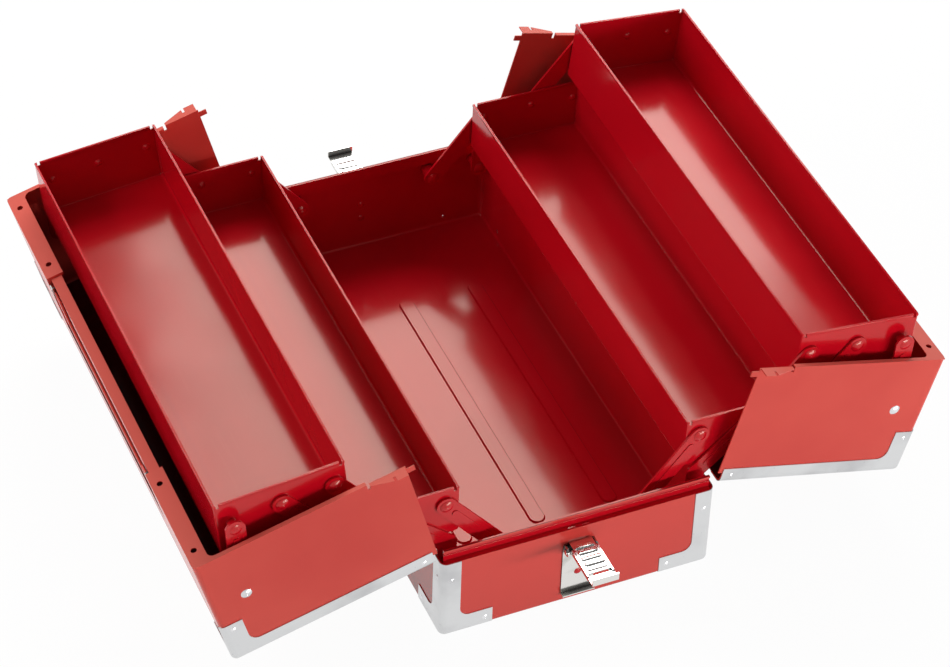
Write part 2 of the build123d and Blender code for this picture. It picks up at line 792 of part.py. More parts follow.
# ---- trays and their rivets -------------------------------------------------------------------
def make_tray(corner, tilt, width, depth, pivots):
    """A long open tray with a rolled rim, hung at its inner top edge."""
    x0, z1 = corner
    centre_x = x0 + width / 2
    with BuildPart() as tray:
        with BuildSketch(front_plane(tray_half_l)):
            patch((x0, x0 + width), (z1 - depth, z1))
            fillet(vertices().group_by(Axis.Y)[0], radius=tray_bottom_r)
        extrude(amount=-2 * tray_half_l)
        for end_face in faces().filter_by(Axis.Y).sort_by(Axis.Y):
            fillet(end_face.edges().sort_by(Axis.Z)[:-1], radius=tray_corner_r)
        offset(amount=-sheet, openings=faces().sort_by(Axis.Z)[-1])
        with BuildSketch(Plane.XY.offset(z1)):
            with Locations((centre_x, 0)):
                RectangleRounded(width, 2 * tray_half_l, tray_corner_r)
                Rectangle(
                    width - 2 * tray_hem_t,
                    2 * (tray_half_l - tray_hem_t),
                    mode=Mode.SUBTRACT,
                )
        extrude(amount=-tray_hem_h)
        for x in (x0 + tray_notch_x, x0 + width - tray_notch_x):
            for end in ENDS.values():
                block(
                    (x - tray_notch_w / 2, x + tray_notch_w / 2),
                    (end * (tray_half_l - tray_hem_t - MARGIN), end * (tray_half_l + MARGIN)),
                    (z1 - tray_notch_h, z1 + MARGIN),
                    mode=Mode.SUBTRACT,
                )
        for local in pivots:
            reach = tray_half_l + MARGIN
            rod(
                (x0 + local[0], z1 + local[1]),
                -reach,
                reach,
                pin_r + press_gap,
                mode=Mode.SUBTRACT,
            )
    return tray.part.rotate(Axis((x0, 0, z1), (0, 1, 0)), tilt)


def make_tray_rivets(pivots, studs=()):
    """The rivets of a tray's front end, and the plain studs that stop short of the lid link."""
    with BuildPart() as rivets:
        for pivot in pivots:
            dome(pivot, tray_wall_y, tail_r, tail_h, outward=-1)
            rod(pivot, tray_wall_y, head_y, pin_r)
            dome(pivot, head_y, head_r, head_h)
        for pivot in studs:
            dome(pivot, tray_wall_y, tail_r, tail_h, outward=-1)
            rod(pivot, tray_wall_y, tray_half_l, pin_r)
            rod(pivot, tray_half_l, link_y - safe_gap, link_stud_r)
    return rivets.part


# ---- arms and lid links -----------------------------------------------------------------------
def make_arm(points, spans, holes, inner_y=arm_y):
    """A flat bar along points, with holes (centre, radius) and a raised rib in each span."""
    with BuildPart() as arm:
        with BuildSketch(front_plane(inner_y)):
            bars(points, arm_w)
            for centre, radius in holes:
                with Locations(centre):
                    Circle(radius, mode=Mode.SUBTRACT)
        extrude(amount=arm_t)
        with BuildSketch(front_plane(inner_y + arm_t)):
            for start, end in spans:
                bars((along(start, end, rib_end), along(end, start, rib_end)), arm_rib_w)
        extrude(amount=arm_rib_h)
    return arm.part


def make_lid_link():
    """The link from the open lid to the top tray's stud, which it covers with a button."""
    line = (lid_pivot, top_link)
    link = make_arm(line, (line,), ((lid_pivot, turning),), link_y)
    with BuildPart() as piece:
        add(link)
        dome(top_link, link_y + arm_t, link_button_r, link_button_h)
    return piece.part


# ---- latches ----------------------------------------------------------------------------------
def make_latch_plate():
    """The latch's base plate, with a lip at its foot and an ear on each side."""
    with BuildPart() as plate:
        with BuildSketch(front_plane(base_half_l)):
            patch((-plate_half_w, plate_half_w), (plate_z0, plate_z1))
            fillet(vertices().group_by(Axis.Y)[-1], radius=plate_corner_r)
        extrude(amount=plate_t)
        block(
            (-plate_half_w, plate_half_w),
            (-base_half_l, -base_half_l - plate_lip),
            (plate_z0, plate_z0 + plate_t),
        )
        for side in SIDES.values():
            with BuildSketch(Plane.YZ.offset(side * ear_x)):
                patch((-base_half_l, -latch_y), (latch_z - ear_r, latch_z + ear_r))
                with Locations((-latch_y, latch_z)):
                    Circle(ear_r)
            extrude(amount=side * ear_t)
        with BuildSketch(Plane.YZ.offset(-plate_half_w)):
            with Locations((-latch_y, latch_z)):
                Circle(latch_pin_r + press_gap)
        extrude(amount=2 * plate_half_w, mode=Mode.SUBTRACT)
        for z in plate_rivets_z:
            rod((0, z), base_half_l, latch_y, rivet_shank_r + press_gap, mode=Mode.SUBTRACT)
    return plate.part


def make_plate_rivets():
    """The rivets that hold the front latch's plate on the end wall."""
    with BuildPart() as rivets:
        for z in plate_rivets_z:
            dome((0, z), base_half_l + plate_t, plate_rivet_r, plate_rivet_h)
            rod((0, z), base_wall_y, base_half_l + plate_t, rivet_shank_r)
            dome((0, z), base_wall_y, plate_rivet_r, plate_rivet_h, outward=-1)
    return rivets.part


def make_lever_pins():
    """The two short pins that join the front lever's side walls to the plate's ears."""
    inner_x = lever_half_w - lever_t - safe_gap
    outer_x = ear_x + ear_t
    with BuildPart() as pins:
        for side in SIDES.values():
            with BuildSketch(Plane.YZ.offset(side * inner_x)):
                with Locations((-latch_y, latch_z)):
                    Circle(latch_pin_r)
            extrude(amount=side * (outer_x - inner_x))
            with BuildSketch(Plane.YZ.offset(side * outer_x)):
                with Locations((-latch_y, latch_z)):
                    Circle(latch_pin_head_r)
            extrude(amount=side * latch_pin_head_h)
    return pins.part


def make_lever():
    """The latch's lever: a ribbed web with a deep side wall about each pivot."""
    web_out = -lever_y - lever_t
    with BuildPart() as lever:
        block((-lever_half_w, lever_half_w), (-lever_y, web_out), (lever_tip_z, lever_top_z))
        for side in SIDES.values():
            wall_x = (side * (lever_half_w - lever_t), side * lever_half_w)
            block(wall_x, (-lever_y + lever_edge, web_out), (lever_tip_z, lever_wall_z))
            with BuildSketch(Plane.YZ.offset(wall_x[0])):
                patch((-latch_y, web_out), (latch_z - lever_boss_r, lever_top_z))
                with Locations((-latch_y, latch_z)):
                    Circle(lever_boss_r)
                patch((-claw_y, web_out), (lever_wall_z, latch_z))
                with Locations((-claw_y, claw_z)):
                    Circle(claw_boss_r)
            extrude(amount=side * lever_t)
        with BuildSketch(Plane.YZ.offset(-plate_half_w)):
            with Locations((-latch_y, latch_z)):
                Circle(latch_pin_r + running)
            with Locations((-claw_y, claw_z)):
                Circle(claw_pin_r + press_gap)
        extrude(amount=2 * plate_half_w, mode=Mode.SUBTRACT)
        for index in range(lever_ribs):
            z = lever_tip_z + lever_rib_pitch * (index + 0.5)
            with Locations(Location((0, web_out, z), (0, 90, 0))):
                Cylinder(lever_rib_r, 2 * (lever_half_w - lever_t))
    return lever.part


def make_claw():
    """The claw: two side bars on the lever's pin, a cross web and the lip that hooks the tabs."""
    outer_x = claw_x + claw_t
    with BuildPart() as claw:
        for side in SIDES.values():
            with BuildSketch(Plane.YZ.offset(side * claw_x)):
                bars(((-claw_y, claw_z), (-claw_y, claw_web_z)), claw_bar_w)
                with Locations((-claw_y, claw_z)):
                    Circle(claw_pin_r + running, mode=Mode.SUBTRACT)
            extrude(amount=side * claw_t)
        with BuildSketch(front_plane(claw_web_y)):
            patch((-outer_x, outer_x), (claw_web_z, claw_lip_z + claw_t))
        extrude(amount=claw_t)
        block(
            (-outer_x, outer_x),
            (-claw_web_y, -claw_y + claw_lip_in),
            (claw_lip_z, claw_lip_z + claw_t),
        )
    return claw.part


def make_claw_pin():
    with BuildPart() as pin:
        with Locations(Location((0, -claw_y, claw_z), (0, 90, 0))):
            Cylinder(claw_pin_r, 2 * (claw_x + claw_t + safe_gap))
    return pin.part


def unlatched(piece):
    """A piece of the shut lever, swung up to where the open lever stands out level."""
    return piece.rotate(Axis((0, -latch_y, latch_z), (1, 0, 0)), -90)


def folded_out(piece):
    """The shut claw, folded back along its lever."""
    return piece.rotate(Axis((0, -claw_y, claw_z), (1, 0, 0)), 180)


# ---- pieces of the base -----------------------------------------------------------------------
save(make_base_shell(), "base_shell")
save(both_sides(both_ends(at_spots(small_rivet(), base_rivet_spots))), "base_trim_rivets")
save(both_sides(both_ends(make_pivot_studs())), "base_pivot_studs")
save(both_sides(make_hinge_pin()), "hinge_pins")
save(both_ends(make_plate_rivets()), "latch_plate_rivets")
save(both_ends(make_lever_pins()), "latch_lever_pins")

base_windows = trim_windows(
    base_half_l,
    base_corner_r,
    base_leg_w,
    base_foot_l,
    (trim_lift, ledge_z),
    (trim_lift, base_foot_h),
    base_foot_h,
)
base_trim = make_trim(pan_form(trim_t), pan_form(0), base_windows, base_drills)

# ---- pieces of the lids -----------------------------------------------------------------------
lid_windows = trim_windows(
    lid_half_l,
    lid_corner_r,
    lid_leg_w,
    lid_foot_l,
    (lid_side_z, lid_top + trim_t),
    (lid_top - lid_foot_h, lid_top + trim_t),
    lid_top - lid_foot_h,
)
with BuildPart() as lid_trim_windows:
    add(lid_windows)
    block(
        (base_half_w - lid_foot_h, base_half_w + trim_t),
        (-lid_half_l - trim_t, -lid_half_l + lid_foot_h),
        (lid_top - lid_corner_r, lid_top + trim_t),
    )
lid_trim = make_trim(lid_form(trim_t), lid_form(0), lid_trim_windows.part, lid_drills)
lid_rivets = both_ends(at_spots(small_rivet(), lid_rivet_spots))
with BuildPart() as lid_rivet_set:
    add(lid_rivets)
    add(make_clip_rivets())

base_leaf = make_leaf(0, ledge_z, ledge_z - leaf_h)
lid_leaf = opened(make_leaf(1, lid_side_z, lid_side_z + leaf_h))
open_lid = opened(make_lid())
open_trim = opened(lid_trim)
open_rivets = opened(lid_rivet_set.part)
open_handle = opened(make_handle())
open_clips = opened(make_clips())
lid_link_rivets = both_ends(make_lid_link_rivet())

# ---- trays, arms and links --------------------------------------------------------------------
mid_holes = (mid_short_pivot, mid_long_pivot, mid_upper_pivot)
top_holes = (top_long_pivot, top_upper_pivot, top_link_pivot)
mid_tray = make_tray(mid_open, mid_tilt, mid_w, mid_depth, mid_holes)
top_tray = make_tray(top_open, top_tilt, top_w, top_depth, top_holes)
mid_rivets = both_ends(make_tray_rivets((mid_short, mid_long, mid_upper)))
top_rivets = both_ends(make_tray_rivets((top_long, top_upper), (top_link,)))

short_lower = make_arm(
    (base_short, mid_short),
    ((base_short, mid_short),),
    ((base_short, turning), (mid_short, loose)),
)
long_arm = make_arm(
    (base_long, crank, mid_long, top_long),
    ((crank, mid_long), (mid_long, top_long)),
    ((base_long, turning), (mid_long, turning), (top_long, turning)),
)
short_upper = make_arm(
    (mid_upper, top_upper),
    ((mid_upper, top_upper),),
    ((mid_upper, turning), (top_upper, loose)),
)
lid_link = make_lid_link()

side_pieces = {
    "hinge_leaf_base": base_leaf,
    "hinge_leaf_lid": lid_leaf,
    "lid": open_lid,
    "lid_rivets": open_rivets,
    "lid_link_rivets": lid_link_rivets,
    "handle": open_handle,
    "handle_clips": open_clips,
    "tray_mid": mid_tray,
    "tray_top": top_tray,
    "mid_tray_rivets": mid_rivets,
    "top_tray_rivets": top_rivets,
}
corner_pieces = {
    "base_corner_trim": base_trim,
    "lid_corner_trim": open_trim,
    "short_arm_lower": short_lower,
    "long_arm": long_arm,
    "short_arm_upper": short_upper,
    "lid_link": lid_link,
}
end_pieces = {
    "latch_plate": make_latch_plate(),
    "latch_lever": unlatched(make_lever()),
    "latch_claw": unlatched(folded_out(make_claw())),
    "latch_claw_pin": unlatched(make_claw_pin()),
}

for side_name, side in SIDES.items():
    for name, piece in side_pieces.items():
        save(placed(piece, side), f"{name}_{side_name}")
    for end_name, end in ENDS.items():
        for name, piece in corner_pieces.items():
            save(placed(piece, side, end), f"{name}_{end_name}_{side_name}")
for end_name, end in ENDS.items():
    for name, piece in end_pieces.items():
        save(placed(piece, 1, end), f"{name}_{end_name}")
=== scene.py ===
"""Looks of the cantilever tool box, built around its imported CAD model.

Every length is in metres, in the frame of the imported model: X runs across the box, Y along it,
Z up, and the origin is the centre of the base's underside. The CAD nodes keep their meshes and
get finishes here. Rolled rims, weld marks and other small sheet-metal details are added as
pieces of their own, each riding on the body that carries it.
"""

import logging
import math
from dataclasses import dataclass, field
from enum import Enum
from typing import Iterable, Mapping, Optional, Sequence, Union

import bmesh
import bpy
from mathutils import Matrix, Vector


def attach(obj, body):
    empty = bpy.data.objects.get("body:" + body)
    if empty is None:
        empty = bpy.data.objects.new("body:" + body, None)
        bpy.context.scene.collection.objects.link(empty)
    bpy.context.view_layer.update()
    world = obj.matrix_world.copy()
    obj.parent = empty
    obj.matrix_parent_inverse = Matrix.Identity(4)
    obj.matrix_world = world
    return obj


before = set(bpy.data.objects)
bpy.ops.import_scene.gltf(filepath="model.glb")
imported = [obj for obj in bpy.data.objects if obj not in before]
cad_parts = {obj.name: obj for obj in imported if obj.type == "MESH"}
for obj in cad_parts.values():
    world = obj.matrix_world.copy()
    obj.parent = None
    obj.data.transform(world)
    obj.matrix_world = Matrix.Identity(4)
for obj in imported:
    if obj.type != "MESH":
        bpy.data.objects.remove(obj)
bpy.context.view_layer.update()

LOG = logging.getLogger("tool_box")

Point = tuple[float, float, float]
Flat = tuple[float, float]
Band = tuple[float, float]
Tint = tuple[float, float, float]
Ring = list[bmesh.types.BMVert]

WHITE: Tint = (1.0, 1.0, 1.0)

# A bar's softened ends: how long they are against the section's half width, and at each station
# the share of that length and the share of the section.
BAR_SOFT_LENGTH = 0.35
BAR_STATIONS = ((0.0, 0.55), (0.3, 0.86), (1.0, 1.0))
# A dome from its foot to its top: at each station the share of the radius and of the height.
DOME_STATIONS = ((1.0, 0.0), (0.93, 0.38), (0.72, 0.74), (0.42, 0.94), (0.14, 1.0))
SHARP_ANGLE = math.radians(50)


class Side(Enum):
    """A side of the box, with the sign of its X."""

    RIGHT = 1
    LEFT = -1

    @property
    def word(self) -> str:
        """The side's name as the nodes spell it."""
        return self.name.lower()


class End(Enum):
    """An end of the box, with the sign of its Y."""

    FRONT = -1
    REAR = 1

    @property
    def word(self) -> str:
        """The end's name as the nodes spell it."""
        return self.name.lower()


class Level(Enum):
    """A level of trays, with its name as the nodes spell it."""

    MID = "mid"
    TOP = "top"


class Slot(Enum):
    """The record's material slots that the added pieces belong to."""

    ENAMEL = "red_enamel"
    CHROME = "latch_chrome"


# ---- shader maths -----------------------------------------------------------------------------
class Field:
    """A shader value that ordinary arithmetic works on, each operation adding a Math node."""

    def __init__(self, graph: "Graph", socket: bpy.types.NodeSocket) -> None:
        """Wraps a socket.

        Args:
            graph: The graph that holds the socket's node.
            socket: The output that carries the value.
        """
        self.graph = graph
        self.socket = socket

    def maths(self, operation: str, *values: "Value", clamp: bool = False) -> "Field":
        """Adds one Math node.

        Args:
            operation: The node's operation.
            values: Its operands in order.
            clamp: Whether the result is kept between 0 and 1.

        Returns:
            The node's result.
        """
        settings = {"operation": operation, "use_clamp": clamp}
        return self.graph.node("ShaderNodeMath", settings, dict(enumerate(values)))

    def __add__(self, other: "Value") -> "Field":
        """This value plus another."""
        return self.maths("ADD", self, other)

    def __radd__(self, other: "Value") -> "Field":
        """Another value plus this one."""
        return self.maths("ADD", other, self)

    def __sub__(self, other: "Value") -> "Field":
        """This value less another."""
        return self.maths("SUBTRACT", self, other)

    def __rsub__(self, other: "Value") -> "Field":
        """Another value less this one."""
        return self.maths("SUBTRACT", other, self)

    def __mul__(self, other: "Value") -> "Field":
        """This value times another."""
        return self.maths("MULTIPLY", self, other)

    def __rmul__(self, other: "Value") -> "Field":
        """Another value times this one."""
        return self.maths("MULTIPLY", other, self)

    def __abs__(self) -> "Field":
        """The value without its sign."""
        return self.maths("ABSOLUTE", self)

    def over(self, low: float, high: float) -> "Field":
        """A smooth step up.

        Args:
            low: Where the step is still 0.
            high: Where it has reached 1.

        Returns:
            The step as a value from 0 to 1.
        """
        part = self.maths("MULTIPLY", self - low, 1 / (high - low), clamp=True)
        return part * part * (3 - 2 * part)

    def under(self, low: float, high: float) -> "Field":
        """A smooth step down, from 1 at the lower bound to 0 at the higher one."""
        return 1 - self.over(low, high)


Value = Union[float, Sequence[float], Field]


class Graph:
    """The node graph of one material or of the world."""

    def __init__(self, owner: Union[bpy.types.Material, bpy.types.World]) -> None:
        """Empties the owner's graph.

        Args:
            owner: The material or world that the graph shades.
        """
        owner.use_nodes = True
        self.tree = owner.node_tree
        self.tree.nodes.clear()

    def node(
        self,
        kind: str,
        settings: Optional[Mapping[str, object]] = None,
        inputs: Optional[Mapping[Union[int, str], Value]] = None,
        output: Union[int, str] = 0,
    ) -> Field:
        """Adds any node.

        Args:
            kind: The node's type.
            settings: Its properties, set before its sockets.
            inputs: Values or links of its sockets, by name or number.
            output: The socket that is returned.

        Returns:
            The chosen output, or the first input of a node that ends the graph.
        """
        made = self.tree.nodes.new(kind)
        for key, value in (settings or {}).items():
            setattr(made, key, value)
        for key, value in (inputs or {}).items():
            if isinstance(value, Field):
                self.tree.links.new(value.socket, made.inputs[key])
            else:
                made.inputs[key].default_value = value
        return Field(self, made.outputs[output] if len(made.outputs) else made.inputs[0])

    def place(self) -> Field:
        """The point on the object in its own measures, the same at every pose."""
        return self.node("ShaderNodeTexCoord", output="Object")

    def facing(self) -> Field:
        """The surface's direction in the object's own measures."""
        return self.node("ShaderNodeTexCoord", output="Normal")

    def vector(self, operation: str, first: Value, second: Value) -> Field:
        """Adds a Vector Math node and returns its vector."""
        return self.node("ShaderNodeVectorMath", {"operation": operation}, {0: first, 1: second})

    def axes(self, vector: Field) -> tuple[Field, Field, Field]:
        """Splits a vector.

        Args:
            vector: The vector.

        Returns:
            Its X, Y and Z.
        """
        outputs = self.node("ShaderNodeSeparateXYZ", inputs={0: vector}).socket.node.outputs
        return Field(self, outputs[0]), Field(self, outputs[1]), Field(self, outputs[2])

    def height(self) -> Field:
        """The point's height in the box as it stands open, the same at every pose."""
        return self.axes(self.place())[2]

    def upward(self, band: Band) -> Field:
        """A smooth step up from walls to faces that look up, over a band of the slope's Z."""
        return self.axes(self.facing())[2].over(*band)

    def hollow(self, reach: float, band: Band, samples: int) -> Field:
        """Finds the corners and slits of the sheet.

        Args:
            reach: How far off a neighbouring surface still counts, in metres.
            band: The openness at which a hollow starts to fade, and that at which it has gone.
            samples: Rays that look for neighbours.

        Returns:
            1 in a hollow and 0 in the open.
        """
        settings, inputs = {"samples": samples}, {"Distance": reach}
        openness = self.node("ShaderNodeAmbientOcclusion", settings, inputs, output="AO")
        return openness.under(*band)

    def noise(self, scale: float, detail: float = 2.0, stretch: Point = (1, 1, 1)) -> Field:
        """Smooth noise over the object's own measures.

        Args:
            scale: Cells per metre.
            detail: Octaves of finer noise.
            stretch: How much denser the noise is along each axis.

        Returns:
            The noise, about 0.5 on average.
        """
        spot = self.vector("MULTIPLY", self.place(), stretch)
        inputs = {"Vector": spot, "Scale": scale, "Detail": detail}
        return self.node("ShaderNodeTexNoise", {"noise_dimensions": "3D"}, inputs)

    def mix(self, first: Value, second: Value, share: Value) -> Field:
        """Mixes two colours.

        Args:
            first: Colour at share 0.
            second: Colour at share 1.
            share: The mix's factor.

        Returns:
            The mixed colour.
        """
        inputs = {0: share, 6: first, 7: second}
        return self.node("ShaderNodeMix", {"data_type": "RGBA"}, inputs, output=2)

    def bump(self, height: Field, depth: float, onto: Optional[Field] = None) -> Field:
        """A relief laid on the surface, over an earlier one if there is one.

        Args:
            height: The relief from 0 to 1.
            depth: Its real depth in metres.
            onto: The normal that it adds to.

        Returns:
            The bent normal.
        """
        inputs: dict[Union[int, str], Value] = {"Height": height, "Distance": depth}
        if onto is not None:
            inputs["Normal"] = onto
        return self.node("ShaderNodeBump", inputs=inputs)

    def end(self, shader: Field, kind: str = "ShaderNodeOutputMaterial") -> None:
        """Feeds a shader to the graph's output."""
        self.node(kind, inputs={0: shader})


def opaque(colour: Tint) -> tuple[float, float, float, float]:
    """A colour with full alpha."""
    return (*colour, 1.0)


# ---- finishes ---------------------------------------------------------------------------------
@dataclass(frozen=True)
class Enamel:
    """Glossy stoved enamel on pressed sheet.

    A field named for a band holds where its smooth step begins and where it ends. One named for
    roughness scales what its pattern adds to the roughness.
    """

    name: str
    colour: Tint = (0.56, 0.0035, 0.0125)
    deep: Tint = (0.49, 0.0012, 0.0080)
    deep_band: Band = (0.42, 0.78)
    gloss: float = 0.24
    cloud_roughness: float = 0.04
    handled_roughness: float = 0.05
    # Painted reflection: the paler, warmer red of the outer faces stands in for the white floor's
    # reflection.
    reflection_tint: Tint = (0.62, 0.046, 0.038)
    reflection_beyond: Optional[Flat] = None
    reflection_edge: float = 0.0002
    # Painted shade for the low faces that look up, which lie in shadow inside the open lids; the
    # roughness added with it dulls them.
    low_face_shade: Tint = (0.10, 0.001, 0.002)
    shade_and_dull_below: Optional[float] = None
    shade_and_dull_edge: float = 0.006
    shade_and_dull_band: Band = (0.80, 0.92)
    dull_roughness: float = 0.62
    # Painted highlight: a pale salmon on the high faces that look up, where the lamps above glance
    # off.
    painted_highlight: Tint = (0.74, 0.150, 0.115)
    highlight_above: Optional[float] = None
    highlight_edge: float = 0.004
    highlight_band: Band = (0.90, 0.95)
    highlight_share: float = 0.8
    floor_scuffs: float = 0.0
    floor_band: Band = (0.75, 0.95)
    scuff_band: Band = (0.48, 0.72)
    scuff_share: float = 0.55
    hair: Tint = (0.56, 0.016, 0.020)
    hair_band: Band = (0.63, 0.69)
    hair_share: float = 0.45
    hair_colour_share: float = 0.12
    # Painted shade: near black in the slits and tight corners that the neighbouring sheet shuts in.
    crevice_shade: Tint = (0.035, 0.0008, 0.0010)
    crevice_reach: float = 0.004
    crevice_band: Band = (0.14, 0.50)
    crevice_shade_share: float = 0.9
    crevice_roughness: float = 0.4
    wave_depth: float = 0.0009
    peel_depth: float = 0.000006
    refraction: float = 1.5
    sheen: float = 0.30
    sheen_tint: Tint = (1.0, 0.95, 0.72)
    coat: float = 0.12
    coat_gloss: float = 0.08

    def fade(self, graph: Graph, colour: Field) -> Field:
        """Paints the white floor's reflection onto the faces past the inside of the pan, which are
        its outer ones, as a paler, warmer red.

        Args:
            graph: The enamel's graph.
            colour: The colour so far.

        Returns:
            The new colour.
        """
        if self.reflection_beyond is None:
            return colour
        side, end = self.reflection_beyond
        across, along, _ = graph.axes(graph.place())
        past_side = abs(across).over(side - self.reflection_edge, side)
        past_end = abs(along).over(end - self.reflection_edge, end)
        outside = past_side.maths("MAXIMUM", past_side, past_end)
        return graph.mix(colour, opaque(self.reflection_tint), outside)

    def paint_shade_and_dull(self, graph: Graph, colour: Field, rough: Field) -> tuple[Field, Field]:
        """Paints shade onto the low faces that look up, such as the floors of the open lids in the
        shadow of the trays, and makes them rougher.

        Args:
            graph: The enamel's graph.
            colour: The colour so far.
            rough: The roughness so far.

        Returns:
            The new colour and roughness.
        """
        if self.shade_and_dull_below is None:
            return colour, rough
        low = graph.height().under(self.shade_and_dull_below - self.shade_and_dull_edge, self.shade_and_dull_below)
        share = graph.upward(self.shade_and_dull_band) * low
        return graph.mix(colour, opaque(self.low_face_shade), share), rough + self.dull_roughness * share

    def rub_and_highlight(self, graph: Graph, colour: Field) -> Field:
        """Paints a highlight onto the high faces that look up, as a paler salmon colour.

        Args:
            graph: The enamel's graph.
            colour: The colour so far.

        Returns:
            The new colour.
        """
        if self.highlight_above is None:
            return colour
        high = graph.height().over(self.highlight_above, self.highlight_above + self.highlight_edge)
        share = self.highlight_share * (graph.upward(self.highlight_band) * high)
        return graph.mix(colour, opaque(self.painted_highlight), share)

    def scuff(self, graph: Graph, colour: Field, rough: Field) -> tuple[Field, Field]:
        """Scuffs the floors along the box, with faint hairlines.

        Args:
            graph: The enamel's graph.
            colour: The colour so far.
            rough: The roughness so far.

        Returns:
            The new colour and roughness.
        """
        if not self.floor_scuffs:
            return colour, rough
        floor = graph.upward(self.floor_band)
        rubs = graph.noise(scale=34.0, detail=4.0, stretch=(1.0, 0.35, 1.0))
        hairs = graph.noise(scale=95.0, detail=2.0, stretch=(3.0, 0.12, 1.0))
        rub_and_highlight, hair = rubs.over(*self.scuff_band), hairs.over(*self.hair_band)
        worn = floor * (self.scuff_share * rub_and_highlight + self.hair_share * hair)
        colour = graph.mix(colour, opaque(self.hair), floor * hair * self.hair_colour_share)
        return colour, rough + self.floor_scuffs * worn

    def make(self) -> bpy.types.Material:
        """Builds the enamel.

        Returns:
            The finished material.
        """
        made = bpy.data.materials.new(self.name)
        graph = Graph(made)
        cloud = graph.noise(scale=7.0, detail=3.0)
        handled = graph.noise(scale=31.0, detail=3.0)
        sheet_wave = graph.noise(scale=11.0, detail=1.0)
        peel = graph.noise(scale=420.0, detail=1.0)
        colour = graph.mix(opaque(self.colour), opaque(self.deep), cloud.over(*self.deep_band))
        rough = self.gloss + self.cloud_roughness * (cloud - 0.5)
        rough = rough + self.handled_roughness * (handled - 0.5)
        colour = self.fade(graph, colour)
        colour, rough = self.paint_shade_and_dull(graph, colour, rough)
        colour = self.rub_and_highlight(graph, colour)
        colour, rough = self.scuff(graph, colour, rough)
        # Painted shade in slits and tight corners, which are also made rougher.
        hollow = graph.hollow(self.crevice_reach, self.crevice_band, samples=4)
        colour = graph.mix(colour, opaque(self.crevice_shade), self.crevice_shade_share * hollow)
        rough = rough + self.crevice_roughness * hollow
        normal = graph.bump(sheet_wave, self.wave_depth)
        normal = graph.bump(peel, self.peel_depth, normal)
        shader = graph.node(
            "ShaderNodeBsdfPrincipled",
            inputs={
                "Base Color": colour,
                "Roughness": rough,
                "Normal": normal,
                "IOR": self.refraction,
                "Specular IOR Level": self.sheen,
                "Specular Tint": opaque(self.sheen_tint),
                "Coat Weight": self.coat,
                "Coat Roughness": self.coat_gloss,
            },
        )
        graph.end(shader)
        return made


@dataclass(frozen=True)
class BrushedSteel:
    """Thin bright sheet with a fine brushed grain and faint handling marks."""

    name: str
    colour: Tint = (0.66, 0.665, 0.67)
    stain: Tint = (0.50, 0.50, 0.51)
    stain_band: Band = (0.45, 0.75)
    gloss: float = 0.34
    cloud_roughness: float = 0.12
    grain: Point = (1.0, 1.0, 14.0)
    grain_depth: float = 0.00002
    grain_roughness: float = 0.10
    nick: Tint = (0.42, 0.42, 0.43)
    nick_band: Band = (0.70, 0.76)
    nick_share: float = 0.5
    nick_roughness: float = 0.1

    def make(self) -> bpy.types.Material:
        """Builds the steel.

        Returns:
            The finished material.
        """
        made = bpy.data.materials.new(self.name)
        graph = Graph(made)
        grain = graph.noise(scale=240.0, detail=3.0, stretch=self.grain)
        cloud = graph.noise(scale=22.0, detail=3.0)
        nick = graph.noise(scale=260.0, detail=2.0).over(*self.nick_band)
        colour = graph.mix(opaque(self.colour), opaque(self.stain), cloud.over(*self.stain_band))
        colour = graph.mix(colour, opaque(self.nick), nick * self.nick_share)
        rough = self.gloss + self.grain_roughness * (grain - 0.5)
        rough = rough + self.cloud_roughness * (cloud - 0.5) + self.nick_roughness * nick
        normal = graph.bump(grain, self.grain_depth)
        shader = graph.node(
            "ShaderNodeBsdfPrincipled",
            inputs={
                "Base Color": colour,
                "Metallic": 1.0,
                "Roughness": rough,
                "Normal": normal,
            },
        )
        graph.end(shader)
        return made


@dataclass(frozen=True)
class Plating:
    """Bright nickel plating on small pressed pieces, with painted shade in their recesses."""

    name: str
    colour: Tint = (0.74, 0.73, 0.70)
    worn: Tint = (0.55, 0.54, 0.51)
    worn_band: Band = (0.5, 0.8)
    gloss: float = 0.14
    wipe_roughness: float = 0.08
    cloud_band: Band = (0.55, 0.75)
    cloud_roughness: float = 0.10
    # Painted shade: near black in the recesses of the latch and clips.
    recess_shade: Tint = (0.045, 0.040, 0.036)
    recess_reach: float = 0.006
    recess_band: Band = (0.42, 0.93)
    recess_shade_share: float = 0.88
    ripple_depth: float = 0.00009

    def make(self) -> bpy.types.Material:
        """Builds the plating.

        Returns:
            The finished material.
        """
        made = bpy.data.materials.new(self.name)
        graph = Graph(made)
        cloud = graph.noise(scale=60.0, detail=3.0)
        wipe = graph.noise(scale=180.0, detail=2.0, stretch=(1.0, 1.0, 5.0))
        ripple = graph.noise(scale=130.0, detail=1.0)
        hollow = graph.hollow(self.recess_reach, self.recess_band, samples=6)
        colour = graph.mix(opaque(self.colour), opaque(self.worn), cloud.over(*self.worn_band))
        # Painted shade in the recesses.
        colour = graph.mix(colour, opaque(self.recess_shade), self.recess_shade_share * hollow)
        rough = self.gloss + self.wipe_roughness * (wipe - 0.5)
        rough = rough + self.cloud_roughness * cloud.over(*self.cloud_band)
        shader = graph.node(
            "ShaderNodeBsdfPrincipled",
            inputs={
                "Base Color": colour,
                "Metallic": 1.0,
                "Roughness": rough,
                "Normal": graph.bump(ripple, self.ripple_depth),
            },
        )
        graph.end(shader)
        return made


